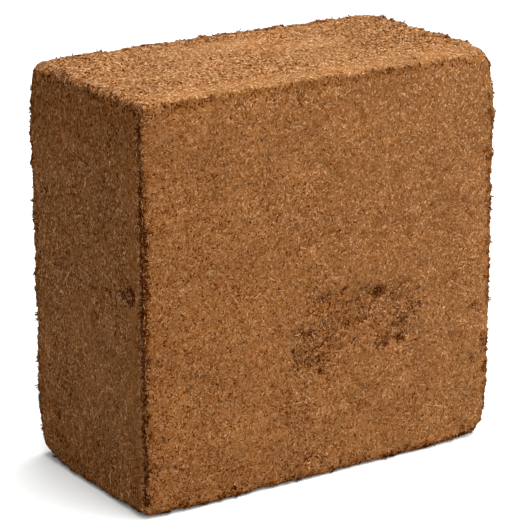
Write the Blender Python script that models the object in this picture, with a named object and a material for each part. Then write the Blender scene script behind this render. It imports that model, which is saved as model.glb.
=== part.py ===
"""A pressed bale of coconut coir, standing on one of its narrow sides.

The bale is a single block: husk fibre and pith pressed in a mould, then sprung back a little. Its origin is
the middle of its foot, +Z is up, and its two wide faces look along -Y (the front) and +Y (the back).
Distances on a face are given from the middle of the bale across the face, and up from the foot.
"""

import bmesh
import bpy
import numpy as np
from mathutils import Vector, noise

WIDTH = 0.300
DEPTH = 0.156
HEIGHT = 0.296

# The block starts as an even grid of points, and is thinned to what its relief needs.
GRID_STEP = 0.003
MERGE_DISTANCE = 0.0001
MOST_TRIANGLES = 9300

# Rounding of the edges. Two have their own, and each corner has what handling has worn it to, given by its
# side in x, y and z.
EDGE_RADIUS = 0.0040
OWN_RADII = {
    ("left", "front"): 0.0026,
    ("left", "top"): 0.0070,
}
EDGE_REACH = 0.030
CORNER_RADII = {
    (-1, -1, -1): 0.010,
    (1, -1, -1): 0.0135,
    (-1, 1, -1): 0.015,
    (1, 1, -1): 0.014,
    (-1, -1, 1): 0.005,
    (1, -1, 1): 0.015,
    (-1, 1, 1): 0.008,
    (1, 1, 1): 0.006,
}
WEAR_REACH = 0.045

# The faces swell out of the mould most in their middles, so the edges stay this far behind them.
SPRING_BACK = 0.0006
EDGE_BAND = 0.018
EDGE_WANDER = 0.0006
WANDER_LENGTH = 0.055
EDGE_CRUMBLE = 0.0010
CRUMBLE_LENGTH = 0.013

# Lumps of unevenly packed pith, and the rougher crumb on top of them.
LUMP_DEPTH = 0.0008
LUMP_LENGTH = 0.034
CRUMB_DEPTH = 0.0008
CRUMB_LENGTH = 0.011

# The flat of the foot, inside its rounded and ragged rim. The surface counts as foot once it looks this far
# down.
FOOT_RIM = 0.012
FOOT_TURN = (0.5, 0.9)

# Where the surface stops and starts to belong to a face, by how squarely it looks that way.
FACE_TURN = (0.75, 1.0)

FACES = {
    "left": (0, -1),
    "right": (0, 1),
    "front": (1, -1),
    "back": (1, 1),
    "top": (2, 1),
}

# Torn crevices that run beside an edge: the face they are in, the edge they follow, how far in they lie,
# their half width, their depth and how open they are. They wander, and close where the noise that breaks them
# is low.
CREVICES = (
    ("left", "front", 0.0040, 0.0023, 0.0034, 0.95),
    ("left", "top", 0.0075, 0.0032, 0.0012, 0.50),
    ("left", "back", 0.0065, 0.0032, 0.0012, 0.60),
    ("front", "top", 0.0044, 0.0026, 0.0005, 0.50),
    ("back", "top", 0.0060, 0.0030, 0.0016, 0.60),
    ("back", "right", 0.0065, 0.0032, 0.0020, 0.60),
    ("right", "back", 0.0065, 0.0032, 0.0012, 0.60),
    ("right", "top", 0.0060, 0.0030, 0.0014, 0.60),
)
CREVICE_WANDER = 0.0010
CREVICE_BREAK = 0.016
CREVICE_SWING = 0.75

# The torn patch on the front: the lobes that were pulled away (middle across and up, half width and half
# height), how deep the pull went, how wide the ledge round it is for its lobe, and how ragged.
TORN_LOBES = (
    (0.058, 0.109, 0.032, 0.027),
    (0.030, 0.114, 0.031, 0.025),
    (0.004, 0.123, 0.027, 0.022),
    (-0.006, 0.098, 0.027, 0.021),
)
TORN_DEPTH = 0.0013
TORN_LEDGE = 0.50
TORN_RAGGED = 0.22
TORN_ROUGHNESS = 0.0007
TORN_LENGTH = 0.006

# Pits, cracks and crumbled edges: face, middle across and up, half width, half height, depth. They end this
# many half widths out.
PITS = (
    ("front", 0.047, 0.131, 0.006, 0.005, 0.0030),
    ("front", 0.034, 0.136, 0.004, 0.002, 0.0014),
    ("front", 0.068, 0.134, 0.010, 0.002, 0.0012),
    ("front", 0.017, 0.138, 0.003, 0.002, 0.0018),
    ("front", -0.001, 0.134, 0.009, 0.003, 0.0009),
    ("front", -0.015, 0.143, 0.005, 0.003, 0.0008),
    ("front", 0.025, 0.128, 0.010, 0.002, 0.0008),
    ("front", 0.082, 0.126, 0.003, 0.007, 0.0015),
    ("front", 0.084, 0.115, 0.003, 0.005, 0.0013),
    ("front", 0.070, 0.104, 0.003, 0.004, 0.0015),
    ("front", 0.066, 0.093, 0.003, 0.004, 0.0018),
    ("front", 0.052, 0.089, 0.007, 0.003, 0.0021),
    ("front", 0.006, 0.105, 0.004, 0.006, 0.0008),
    ("front", -0.004, 0.080, 0.003, 0.004, 0.0021),
    ("front", -0.022, 0.113, 0.003, 0.005, 0.0016),
    ("front", -0.013, 0.110, 0.006, 0.002, 0.0012),
    ("front", -0.026, 0.099, 0.003, 0.008, 0.0013),
    ("front", -0.025, 0.085, 0.004, 0.006, 0.0012),
    ("front", -0.022, 0.283, 0.002, 0.005, 0.0022),
    ("front", -0.1475, 0.262, 0.0022, 0.009, 0.0014),
    ("front", -0.1475, 0.238, 0.0022, 0.012, 0.0012),
    ("front", -0.1463, 0.201, 0.0036, 0.018, 0.0034),
    ("front", -0.1463, 0.169, 0.0040, 0.018, 0.0038),
    ("front", -0.1466, 0.138, 0.0030, 0.009, 0.0034),
    ("front", -0.1466, 0.111, 0.0030, 0.013, 0.0034),
    ("front", -0.1472, 0.079, 0.0022, 0.010, 0.0018),
    ("front", -0.1472, 0.040, 0.0022, 0.016, 0.0022),
    ("front", -0.018, 0.016, 0.008, 0.004, 0.0018),
    ("front", -0.116, 0.010, 0.006, 0.005, 0.0018),
    ("front", 0.134, 0.062, 0.004, 0.005, 0.0018),
    ("front", 0.134, 0.104, 0.004, 0.004, 0.0014),
    ("left", -0.049, 0.159, 0.006, 0.005, 0.0028),
    ("left", -0.060, 0.158, 0.007, 0.009, 0.0026),
    ("left", -0.030, 0.155, 0.012, 0.003, 0.0016),
    ("left", -0.008, 0.151, 0.008, 0.003, 0.0018),
    ("left", 0.014, 0.153, 0.012, 0.002, 0.0014),
    ("left", 0.040, 0.154, 0.011, 0.003, 0.0018),
    ("left", 0.062, 0.157, 0.010, 0.003, 0.0014),
    ("left", -0.0705, 0.276, 0.0030, 0.006, 0.0026),
    ("left", -0.0257, 0.189, 0.0020, 0.005, 0.0014),
    ("left", 0.0484, 0.166, 0.0040, 0.004, 0.0014),
    ("left", 0.056, 0.205, 0.006, 0.005, 0.0018),
    ("left", -0.004, 0.238, 0.004, 0.004, 0.0014),
    ("left", 0.046, 0.040, 0.006, 0.006, 0.0018),
    ("back", 0.060, 0.200, 0.018, 0.012, 0.0020),
    ("back", 0.082, 0.190, 0.012, 0.009, 0.0016),
    ("back", -0.075, 0.080, 0.012, 0.007, 0.0014),
    ("right", 0.030, 0.210, 0.010, 0.016, 0.0018),
    ("right", -0.035, 0.110, 0.012, 0.006, 0.0014),
    ("top", 0.107, -0.041, 0.010, 0.006, 0.0014),
    ("top", 0.035, 0.030, 0.012, 0.004, 0.0012),
    ("top", 0.132, -0.010, 0.005, 0.008, 0.0016),
)
PIT_REACH = 2.0
PIT_FALL = 1.4

# Each kind of unevenness reads the noise at a place of its own. The noise alone stays within about 0.6 of 0.
PLACES = {
    "drift": 3.1,
    "crumble": 5.3,
    "crevice path": 7.7,
    "crevice breaks": 9.1,
    "torn ledge": 11.3,
    "torn floor": 13.9,
    "lumps": 17.9,
    "crumbs": 19.3,
}
PLACE_WAY = Vector((1.0, 2.7, -1.3))
NOISE_GAIN = 1.6

COIR_COLOUR = (0.33, 0.145, 0.056, 1.0)
COIR_ROUGHNESS = 0.95

HALF = Vector((WIDTH, DEPTH, HEIGHT)) / 2
MIDDLE = Vector((0, 0, HEIGHT / 2))


def clear_scene():
    for thing in list(bpy.data.objects):
        bpy.data.objects.remove(thing, do_unlink=True)


def smooth(value):
    """0 below 0, 1 above 1, and an even slope between."""
    value = min(max(value, 0.0), 1.0)
    return value * value * (3 - 2 * value)


def between(value, limits):
    """0 at the lower limit and below, 1 at the upper and above, and an even slope between."""
    low, high = limits
    return smooth((value - low) / (high - low))


def wander(point, length, kind):
    """Even noise from about -1 to 1 whose lumps are this long."""
    return noise.noise(point / length + PLACE_WAY * PLACES[kind]) * NOISE_GAIN


def grid_block():
    """A closed box of even grid faces around the origin, as long each way as the bale."""
    block = bmesh.new()
    for axis in range(3):
        across, along = (axis + 1) % 3, (axis + 2) % 3
        counts = [round(2 * HALF[way] / GRID_STEP) for way in (across, along)]
        for side in (-1, 1):
            made = bmesh.ops.create_grid(block, x_segments=counts[0], y_segments=counts[1], size=1.0)
            for vertex in made["verts"]:
                place = Vector((0, 0, 0))
                place[across] = vertex.co.x * HALF[across]
                place[along] = vertex.co.y * HALF[along]
                place[axis] = side * HALF[axis]
                vertex.co = place
    bmesh.ops.remove_doubles(block, verts=block.verts, dist=MERGE_DISTANCE)
    bmesh.ops.recalc_face_normals(block, faces=block.faces)
    return block


def inset_from(point, face):
    """How far a point is behind the plane of a face."""
    axis, side = FACES[face]
    return HALF[axis] - side * point[axis]


def worn_radius(point):
    """The radius that the edges are rounded to near this point."""
    radius = EDGE_RADIUS
    for edge, own in OWN_RADII.items():
        away = Vector([inset_from(point, face) for face in edge]).length
        radius += (own - EDGE_RADIUS) * smooth(1 - away / EDGE_REACH)
    for sides, worn in CORNER_RADII.items():
        corner = Vector(side * half for side, half in zip(sides, HALF))
        radius += (worn - EDGE_RADIUS) * smooth(1 - (point - corner).length / WEAR_REACH)
    return radius


def rounded(point):
    """Where a point of the plain box goes once its edges are rounded, and which way its surface looks."""
    radius = worn_radius(point)
    core = Vector(min(max(point[i], radius - HALF[i]), HALF[i] - radius) for i in range(3))
    outward = (point - core).normalized()
    return core + outward * radius, outward


def edge_distance(point):
    """How far a point of the box is from the nearest edge."""
    gaps = sorted(HALF[i] - abs(point[i]) for i in range(3))
    return gaps[1]


def facing(outward, face):
    """1 where the surface looks the way of this face, falling to 0 round its edges."""
    axis, side = FACES[face]
    return between(outward[axis] * side, FACE_TURN)


def on_face(point, face):
    """A point's place on a face: across it, and up it (or towards the back on the top)."""
    axis, _ = FACES[face]
    if axis == 0:
        return point.y, point.z + HALF.z
    if axis == 1:
        return point.x, point.z + HALF.z
    return point.x, point.y


def edge_relief(point):
    """Edges that wander, sit back from the faces and crumble."""
    nearness = smooth(1 - edge_distance(point) / EDGE_BAND)
    bow = SPRING_BACK * smooth(1 - edge_distance(point) / (3 * EDGE_BAND))
    drift = EDGE_WANDER * (1 + wander(point, WANDER_LENGTH, "drift")) / 2
    crumble = EDGE_CRUMBLE * max(0.0, wander(point, CRUMBLE_LENGTH, "crumble"))
    return bow + nearness * (drift + crumble)


def crevice_relief(point, outward):
    """The torn lines beside the edges, deep in some places and closed in others."""
    depth = 0.0
    for face, edge, middle, half_width, deepest, share in CREVICES:
        turned = facing(outward, face)
        if turned == 0:
            continue
        path = middle + CREVICE_WANDER * wander(point, CRUMBLE_LENGTH, "crevice path")
        groove = np.exp(-(((inset_from(point, edge) - path) / half_width) ** 2))
        opened = smooth(share + CREVICE_SWING * wander(point, CREVICE_BREAK, "crevice breaks"))
        depth += turned * deepest * groove * opened
    return depth


def torn_relief(point, outward):
    """The two-lobed hollow in the front, with a broken ledge round it and a rough floor."""
    turned = facing(outward, "front")
    across, up = on_face(point, "front")
    inside = 0.0
    for middle, height, half_width, half_height in TORN_LOBES:
        away = ((across - middle) / half_width) ** 2 + ((up - height) / half_height) ** 2
        inside = max(inside, 1 - away**0.5)
    broken = inside + TORN_RAGGED * wander(point, TORN_LENGTH, "torn ledge")
    hollow = smooth(broken / TORN_LEDGE) if inside > 0 else 0.0
    floor = TORN_DEPTH + TORN_ROUGHNESS * wander(point, TORN_LENGTH, "torn floor")
    return turned * hollow * floor


def pit_relief(point, outward):
    """The pits and cracks of the table, each a smooth-sided hollow."""
    depth = 0.0
    for face, middle, height, half_width, half_height, deepest in PITS:
        across, up = on_face(point, face)
        away = ((across - middle) / half_width) ** 2 + ((up - height) / half_height) ** 2
        if away < PIT_REACH**2:
            depth += facing(outward, face) * deepest * np.exp(-PIT_FALL * away)
    return depth


def crumb_relief(point):
    """The uneven packing that shows all over the faces."""
    lumps = LUMP_DEPTH * (1 + wander(point, LUMP_LENGTH, "lumps")) / 2
    crumbs = CRUMB_DEPTH * max(0.0, wander(point, CRUMB_LENGTH, "crumbs"))
    return max(0.0, lumps) + crumbs


def foot_hold(point, outward):
    """0 on the flat of the foot, so that it stays flat, and 1 on the rest of the block."""
    rim = min(HALF.x - abs(point.x), HALF.y - abs(point.y)) / FOOT_RIM
    return 1 - between(-outward.z, FOOT_TURN) * smooth(rim)


def sculpt(block):
    """Rounds the box and presses every hollow into it, always inwards."""
    for vertex in block.verts:
        point = vertex.co.copy()
        place, outward = rounded(point)
        depth = edge_relief(point) + crevice_relief(point, outward) + torn_relief(point, outward)
        depth += pit_relief(point, outward) + crumb_relief(point)
        vertex.co = place - outward * (depth * foot_hold(point, outward)) + MIDDLE


def fill_size(block):
    """Stretches the block by the fraction of a millimetre that brings it to its full size."""
    places = np.array([vertex.co for vertex in block.verts])
    low, high = places.min(axis=0), places.max(axis=0)
    for vertex in block.verts:
        for i in range(3):
            share = (vertex.co[i] - low[i]) / (high[i] - low[i])
            vertex.co[i] = (share - 0.5) * 2 * HALF[i] + MIDDLE[i]


def coir_material():
    coir = bpy.data.materials.new("coir")
    coir.use_nodes = True
    shader = coir.node_tree.nodes["Principled BSDF"]
    shader.inputs["Base Color"].default_value = COIR_COLOUR
    shader.inputs["Roughness"].default_value = COIR_ROUGHNESS
    shader.inputs["Metallic"].default_value = 0.0
    return coir


def coir_bale():
    block = grid_block()
    sculpt(block)
    fill_size(block)
    triangles = 2 * len(block.faces)
    mesh = bpy.data.meshes.new("coir_bale")
    block.to_mesh(mesh)
    block.free()
    mesh.materials.append(coir_material())
    mesh.shade_smooth()
    bale = bpy.data.objects.new("coir_bale", mesh)
    bpy.context.scene.collection.objects.link(bale)
    thin = bale.modifiers.new("thin", "DECIMATE")
    thin.ratio = MOST_TRIANGLES / triangles
    return bale


clear_scene()
coir_bale()
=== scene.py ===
"""A pressed bale of coconut coir on a pale studio floor.

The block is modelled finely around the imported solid: rounded edges, worn corners, torn crevices, pits and a
torn patch. On it lie splinters of husk and pith, chaff and fibres of several tones, as joined meshes.
"""

import math
from collections import namedtuple
from dataclasses import dataclass

import bmesh
import bpy
import numpy as np
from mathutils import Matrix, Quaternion, Vector, noise
from mathutils.bvhtree import BVHTree


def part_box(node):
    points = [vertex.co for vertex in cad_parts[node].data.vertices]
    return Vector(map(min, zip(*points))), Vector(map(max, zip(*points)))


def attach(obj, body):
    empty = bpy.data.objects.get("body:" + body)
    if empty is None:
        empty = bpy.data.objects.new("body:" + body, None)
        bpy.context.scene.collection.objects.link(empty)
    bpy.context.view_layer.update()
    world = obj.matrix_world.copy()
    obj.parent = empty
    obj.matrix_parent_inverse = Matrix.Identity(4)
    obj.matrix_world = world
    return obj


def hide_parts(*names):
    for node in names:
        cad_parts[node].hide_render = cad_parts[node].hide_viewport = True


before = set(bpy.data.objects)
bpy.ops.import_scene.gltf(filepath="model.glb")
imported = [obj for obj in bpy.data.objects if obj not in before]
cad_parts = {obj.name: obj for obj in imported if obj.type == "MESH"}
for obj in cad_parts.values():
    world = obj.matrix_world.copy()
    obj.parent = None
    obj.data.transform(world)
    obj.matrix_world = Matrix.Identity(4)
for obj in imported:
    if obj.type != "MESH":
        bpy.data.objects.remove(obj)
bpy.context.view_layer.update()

# Everything below is in metres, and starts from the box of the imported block.
LOW, HIGH = (np.array(corner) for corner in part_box("coir_bale"))
HALF = (HIGH - LOW) / 2
MIDDLE = (HIGH + LOW) / 2
SEED = 41

# Form of the block, as in its solid.
GRID_STEP = 0.002
MERGE_DISTANCE = 0.0001

# Where the faces lie on the block's flat map, in widths of a face with the gaps between them.
MAP_SECOND = 1.01
MAP_THIRD = 2.03
MAP_ROW = 1.02

# Rounding of the edges. Two have their own, and each corner has what handling has worn it to, given by its
# side in x, y and z.
EDGE_RADIUS = 0.004
OWN_RADII = {("left", "front"): 0.0026, ("left", "top"): 0.007}
EDGE_REACH = 0.03
CORNER_RADII = {
    (-1, -1, -1): 0.01,
    (1, -1, -1): 0.0135,
    (-1, 1, -1): 0.015,
    (1, 1, -1): 0.014,
    (-1, -1, 1): 0.005,
    (1, -1, 1): 0.015,
    (-1, 1, 1): 0.008,
    (1, 1, 1): 0.006,
}
WEAR_REACH = 0.045

# The faces swell out of the mould most in their middles, so the edges stay this far behind them.
SPRING_BACK = 0.0006
EDGE_BAND = 0.018
EDGE_WANDER = 0.0006
WANDER_LENGTH = 0.055
EDGE_CRUMBLE = 0.001
CRUMBLE_LENGTH = 0.013

# Lumps of unevenly packed pith, and the rougher crumb on top of them.
LUMP_DEPTH = 0.0008
LUMP_LENGTH = 0.034
CRUMB_DEPTH = 0.0008
CRUMB_LENGTH = 0.011

# The flat of the foot, inside its rounded and ragged rim. The surface counts as foot once it looks this far
# down.
FOOT_RIM = 0.012
FOOT_TURN = (0.5, 0.9)

# Where the surface stops and starts to belong to a face, by how squarely it looks that way.
FACE_TURN = (0.75, 1.0)

FACES = {
    "left": (0, -1),
    "right": (0, 1),
    "front": (1, -1),
    "back": (1, 1),
    "top": (2, 1),
    "foot": (2, -1),
}

# Torn crevices that run beside an edge: the face they are in, the edge they follow, how far in they lie,
# their half width, their depth and how open they are. They wander, and close where the noise that breaks them
# is low.
CREVICES = (
    ("left", "front", 0.004, 0.0023, 0.0034, 0.95),
    ("left", "top", 0.0075, 0.0032, 0.0012, 0.5),
    ("left", "back", 0.0065, 0.0032, 0.0012, 0.6),
    ("front", "top", 0.0044, 0.0026, 0.0005, 0.5),
    ("back", "top", 0.006, 0.003, 0.0016, 0.6),
    ("back", "right", 0.0065, 0.0032, 0.002, 0.6),
    ("right", "back", 0.0065, 0.0032, 0.0012, 0.6),
    ("right", "top", 0.006, 0.003, 0.0014, 0.6),
)
CREVICE_WANDER = 0.001
CREVICE_BREAK = 0.016
CREVICE_SWING = 0.75

# The torn patch on the front: the lobes that were pulled away (middle across and up, half width and half
# height), how deep the pull went, how wide the ledge round it is for its lobe, and how ragged.
TORN_LOBES = (
    (0.058, 0.109, 0.032, 0.027),
    (0.03, 0.114, 0.031, 0.025),
    (0.004, 0.123, 0.027, 0.022),
    (-0.006, 0.098, 0.027, 0.021),
)
TORN_DEPTH = 0.0013
TORN_LEDGE = 0.5
TORN_RAGGED = 0.22
TORN_ROUGHNESS = 0.0007
TORN_LENGTH = 0.006

# Pits, cracks and crumbled edges of each face: middle across and up, half width, half height and depth. They
# end this many half widths out.
PITS = {
    "front": (
        (0.047, 0.131, 0.006, 0.005, 0.003),
        (0.034, 0.136, 0.004, 0.002, 0.0014),
        (0.068, 0.134, 0.01, 0.002, 0.0012),
        (0.017, 0.138, 0.003, 0.002, 0.0018),
        (-0.001, 0.134, 0.009, 0.003, 0.0009),
        (-0.015, 0.143, 0.005, 0.003, 0.0008),
        (0.025, 0.128, 0.01, 0.002, 0.0008),
        (0.082, 0.126, 0.003, 0.007, 0.0015),
        (0.084, 0.115, 0.003, 0.005, 0.0013),
        (0.07, 0.104, 0.003, 0.004, 0.0015),
        (0.066, 0.093, 0.003, 0.004, 0.0018),
        (0.052, 0.089, 0.007, 0.003, 0.0021),
        (0.006, 0.105, 0.004, 0.006, 0.0008),
        (-0.004, 0.08, 0.003, 0.004, 0.0021),
        (-0.022, 0.113, 0.003, 0.005, 0.0016),
        (-0.013, 0.11, 0.006, 0.002, 0.0012),
        (-0.026, 0.099, 0.003, 0.008, 0.0013),
        (-0.025, 0.085, 0.004, 0.006, 0.0012),
        (-0.022, 0.283, 0.002, 0.005, 0.0022),
        (-0.1475, 0.262, 0.0022, 0.009, 0.0014),
        (-0.1475, 0.238, 0.0022, 0.012, 0.0012),
        (-0.1463, 0.201, 0.0036, 0.018, 0.0034),
        (-0.1463, 0.169, 0.004, 0.018, 0.0038),
        (-0.1466, 0.138, 0.003, 0.009, 0.0034),
        (-0.1466, 0.111, 0.003, 0.013, 0.0034),
        (-0.1472, 0.079, 0.0022, 0.01, 0.0018),
        (-0.1472, 0.04, 0.0022, 0.016, 0.0022),
        (-0.018, 0.016, 0.008, 0.004, 0.0018),
        (-0.116, 0.01, 0.006, 0.005, 0.0018),
        (0.134, 0.062, 0.004, 0.005, 0.0018),
        (0.134, 0.104, 0.004, 0.004, 0.0014),
    ),
    "left": (
        (-0.049, 0.159, 0.006, 0.005, 0.0028),
        (-0.06, 0.158, 0.007, 0.009, 0.0026),
        (-0.03, 0.155, 0.012, 0.003, 0.0016),
        (-0.008, 0.151, 0.008, 0.003, 0.0018),
        (0.014, 0.153, 0.012, 0.002, 0.0014),
        (0.04, 0.154, 0.011, 0.003, 0.0018),
        (0.062, 0.157, 0.01, 0.003, 0.0014),
        (-0.0705, 0.276, 0.003, 0.006, 0.0026),
        (-0.0257, 0.189, 0.002, 0.005, 0.0014),
        (0.0484, 0.166, 0.004, 0.004, 0.0014),
        (0.056, 0.205, 0.006, 0.005, 0.0018),
        (-0.004, 0.238, 0.004, 0.004, 0.0014),
        (0.046, 0.04, 0.006, 0.006, 0.0018),
    ),
    "back": (
        (0.06, 0.2, 0.018, 0.012, 0.002),
        (0.082, 0.19, 0.012, 0.009, 0.0016),
        (-0.075, 0.08, 0.012, 0.007, 0.0014),
    ),
    "right": (
        (0.03, 0.21, 0.01, 0.016, 0.0018),
        (-0.035, 0.11, 0.012, 0.006, 0.0014),
    ),
    "top": (
        (0.107, -0.041, 0.01, 0.006, 0.0014),
        (0.035, 0.03, 0.012, 0.004, 0.0012),
        (0.132, -0.01, 0.005, 0.008, 0.0016),
    ),
}
PIT_REACH = 2.0
PIT_FALL = 1.4

# Each kind of unevenness reads the noise at a place of its own. The noise alone stays within about 0.6 of 0.
PLACES = {
    "drift": 3.1, "crumble": 5.3, "crevice path": 7.7, "crevice breaks": 9.1, "torn ledge": 11.3,
    "torn floor": 13.9, "lumps": 17.9, "crumbs": 19.3, "clods": 23.1, "grains": 29.7, "ragged": 37.3,
    "packing": 43.9, "clumps": 51.7, "ragged_edge_shade": 57.3, "foot shade": 61.1,
}
PLACE_WAY = np.array((1.0, 2.7, -1.3))
NOISE_GAIN = 1.6

# Relief finer than the solid's: clods of pith and the grain between them.
CLOD_DEPTH = 0.0006
CLOD_LENGTH = 0.0058
GRAIN_DEPTH = 0.0002
GRAIN_LENGTH = 0.0026

# The depth from which a hollow is wholly in painted shade, how much of it the torn patch and the fine relief
# count for, and how ragged the hollows are.
HOLLOW_FULL = 0.0024
TORN_SHADE = 0.6
FINE_SHADE = 0.4
RAGGED = 0.6
RAGGED_LENGTH = 0.0045
RAGGED_LIMITS = (0.2, 1.6)

# Painted shade along the near edge, where it is broken away, from just over the foot to some way below the top,
# in a narrow ragged band.
BROKEN_LOW = (0.004, 0.014)
BROKEN_HIGH = (0.212, 0.235)
BROKEN_BAND = (0.0026, 0.0046)
BROKEN_SHADE = 0.0021
BROKEN_RAGGED = 1.3
BROKEN_LIMITS = (0.0, 1.9)

# Painted shade in patches along the foot's rim, by the floor: how high it reaches, and how long and many the
# patches are.
FOOT_SHADE_BAND = (0.002, 0.0052)
FOOT_SHADE_LENGTH = 0.014
FOOT_SHADE_SHARE = 0.4
FOOT_SHADE_SWING = 2.2
FOOT_SHADE = 0.0022

# How rough the husk lies and how varied its tones are. The wide faces were pressed smooth, and the narrow ones
# less so. What the top has is so many times what a narrow face has, and so is the variety of a torn place. The
# roughness of torn and hollow places comes on top.
WIDE_ROUGH = 0.13
NARROW_ROUGH = 0.95
TOP_ROUGH = 1.35
TORN_ROUGH = 0.35
HOLLOW_ROUGH = 0.7
WIDE_VARIETY = 1.01
NARROW_VARIETY = 1.4
TOP_VARIETY = 1.62
TORN_VARIETY = 1.4
PACKING = 0.25
PACKING_LENGTH = 0.045

# Calmer places: the front of the top, a strip of the left face behind its crevice, the front beside the near
# edge, the right end of the front and top, and rubbed ovals (face, middle, half sizes).
CALM = 0.55
RIM_BAND = (0.015, 0.03)
STRIP_START = (0.008, 0.011)
STRIP_END = (0.017, 0.024)
SEAM_CALM = (0.006, 0.012)
END_BAND = (0.004, 0.01)
RUBBED_PLACES = (("top", -0.01, 0.036, 0.04, 0.016), ("top", 0.044, 0.012, 0.04, 0.014))
RUBBED_REACH = 1.5

# Paleness shifts the tones of the loose matter, and is darker below 0; it also carries painted shade and a
# painted highlight, marked below. First where it lies, then how much.
BACK_BAND = (0.007, 0.016)
SEAM_MIDDLE = 0.003
SEAM_BAND = (0.0018, 0.004)
SEAM_BEHIND = (0.0022, 0.004)
FOOT_BAND = (0.002, 0.008)
UNDER_RIM = 0.006
UNDER_RIM_BAND = (0.0015, 0.005)
FAR_END = (0.06, 0.11)
LEFT_ENDS = (0.085, 0.13)
TOP_PALE = 0.28
# Painted highlight along the front of the top.
RIM_PAINTED_HIGHLIGHT = 0.05
STRIP_PALE = -0.06
BACK_PALE = -0.42
# Painted shade in the crevice behind the near edge.
SEAM_PAINTED_SHADE = -0.45
# Painted shade low down, where the bale meets the floor.
FOOT_PAINTED_SHADE = -0.45
END_PALE = 0.08
TORN_PALE = -0.16
RUBBED_PALE = 0.12
FAR_PALE = -0.12
# Painted shade on the front, under the top's rim.
UNDER_RIM_PAINTED_SHADE = -0.45
LEFT_PALE = 0.025
LEFT_HEIGHT_PALE = -0.06
LEFT_ENDS_PALE = -0.34
FRONT_PALE = -0.05
SIDE_PALE = 0.165
HEIGHT_PALE = 0.09
CLUMPS = {"top": 0.15, "front": 0.04, "left": 0.08}
CLUMP_LENGTH = 0.01

# Splinters of husk and pith: how many there are in each of the three sets, and their middling size.
FLAKES = 49000
FLAKE_LENGTH = 0.0032
FLAKE_WIDTH = 0.0015
FLAKE_THICKNESS = 0.0005
FLAKE_SIZES = (0.6, 1.0)
FLAKE_SWING = (0.6, 1.4)
FLAKE_TILT = 0.22
FLAKE_LIFT = (0.5, 1.1)
FLAKE_DIP = 0.8
FLAKE_SLIDE = 0.4

# Fibres: how many, the points of their paths, the limits of their lengths, widths and heights over the face,
# how much they bend, and what share is sprung off the face at one end, by how much.
Kind = namedtuple("Kind", "count points lengths widths lifts bend sprung spring", defaults=(0.0, 0.0, 0.0))
CHAFF = Kind(8200, 3, (0.002, 0.0055), (0.0005, 0.001), (0.0002, 0.0005))
CURVED = Kind(5200, 4, (0.004, 0.01), (0.0004, 0.0008), (0.0001, 0.0004), 0.13, 0.04, 0.0014)
STRANDS = Kind(750, 6, (0.005, 0.012), (0.0005, 0.0009), (0.0004, 0.0009), 0.14, 0.08, 0.0018)
TUFTS = Kind(840, 4, (0.0018, 0.0042), (0.0008, 0.0014), (0.0001, 0.0004), 0.1, 0.9)
LIPS = Kind(3000, 4, (0.002, 0.0055), (0.0005, 0.0009), (0.0003, 0.0008), 0.16, 0.5, 0.0016)
CURVED_SHORTNESS = 1.8
FIBRE_VARIETY = 1.3
FIBRE_FLATNESS = 0.5
FIBRE_TAPER = 0.5
FIBRE_SWING = (0.8, 1.2)
FIBRE_UNEVEN = 0.00006
FIBRE_SPRING = (0.2, 1)
BURIED = -0.00005

# There are more fibres low down, and in the hollows.
FIBROUS_FOOT = 1.15
FIBROUS_HOLLOWS = 3

# Tufts: the fibres in each, how far they are from the edge and from each other, how far they reach out, and the
# edges that have few of them.
TUFT_FIBRES = 6
TUFT_BAND = 0.0045
TUFT_STREWN = 0.0008
TUFT_REACH = (0.001, 0.005)
TUFT_SHORTNESS = 1.7
TUFT_PALE = -0.18
TUFT_DARKEST = -0.3
TUFT_TRIMS = (
    ("left", "top", 0.9),
    ("front", "top", 1.0),
    ("left", "front", 0.6),
    ("left", "foot", 1.0),
    ("front", "foot", 0.2),
)
TRIM_REACH = 0.014

# Lips: the torn edges that they lie along, and the share that stands out pale over the painted shade, with less
# of that shade on itself.
LIP_EDGES = (("left", "front"), ("left", "top"), ("back", "top"))
LIP_BAND = 0.006
LIP_SHARE = 0.42
LIP_PALE = 0.34
LIP_OPEN = 0.4

# All loose matter: little of it lies across the pressed layers, none is under the foot, and in the hollows more
# and more of it gets painted shade.
LAYERING = (1.0, 0.33, 1.0)
ABOVE_FLOOR = 0.0004
UNDERSIDE_TURN = -0.6
UNDERSIDE_RIM = 0.003
CELL_MARGIN = 0.12
SHADE = 0.96
SHADE_FROM = (0.26, 1.15)
SHADE_STEP = 0.08

# Tones of husk, and those of each kind of piece from its darkest to its palest.
# SHADED is the colour of painted shade in hollows and gaps, and also the darkest tone of the ramps.
SHADED = (0.084, 0.015, 0.0008)
DARK = (0.156, 0.035, 0.0019)
RED = (0.238, 0.076, 0.0115)
BROWN = (0.334, 0.1335, 0.0405)
TAN = (0.428, 0.1985, 0.0735)
GOLDEN = (0.56, 0.304, 0.143)
WHEAT = (0.645, 0.37, 0.187)
STRAW = (0.702, 0.41, 0.213)
PRESSED_TONES = ((0, RED), (0.25, BROWN), (0.8, TAN), (1, GOLDEN))
RUST_TONES = ((0, SHADED), (0.07, DARK), (0.27, RED), (0.7, BROWN), (1, TAN))
BROWN_TONES = ((0, SHADED), (0.05, DARK), (0.17, RED), (0.47, BROWN), (0.88, TAN), (1, GOLDEN))
GOLDEN_TONES = ((0, RED), (0.18, BROWN), (0.58, TAN), (0.84, GOLDEN), (1, WHEAT))
STRAW_TONES = ((0, BROWN), (0.5, TAN), (0.85, GOLDEN), (1, STRAW))

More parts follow.
